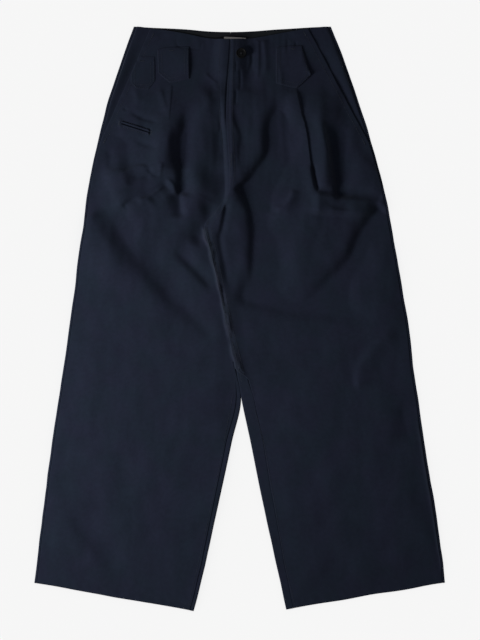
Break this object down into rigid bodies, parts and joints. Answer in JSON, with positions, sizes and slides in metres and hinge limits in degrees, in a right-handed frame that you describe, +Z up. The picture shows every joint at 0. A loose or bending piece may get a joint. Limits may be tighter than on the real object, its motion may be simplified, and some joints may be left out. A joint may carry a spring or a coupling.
{
  "type": "wide-leg pleated trousers laid flat",
  "caption": "Wide-leg pleated trousers lying flat with the front up, with slant pockets, a coin pocket, pointed belt tabs and a buttoned fly.",
  "frame": {"origin": "centre of the trousers' outline, on the surface that they lie on", "axes": "+X to the right seen from the front, +Y towards the waist, +Z up from the surface"},
  "size_m": [0.72, 1.0241, 0.0145],
  "materials": {
    "twill": "matte dark navy cotton twill",
    "inside": "matte navy twill, inner face",
    "label": "plain pale woven tape, blank",
    "button": "dark satin button with four holes"
  },
  "bodies": {
    "root": {"front_left": "twill", "front_right": "twill", "back_left": "twill", "back_right": "twill", "hip_facing_left": "twill", "hip_facing_right": "twill", "waist_facing": "inside", "belt_tab_left": "twill", "belt_tab_right": "twill", "side_tab_left": "twill", "coin_welt_upper": "twill", "coin_welt_lower": "twill", "label": "label", "button": "button"}
  },
  "joints": []
}
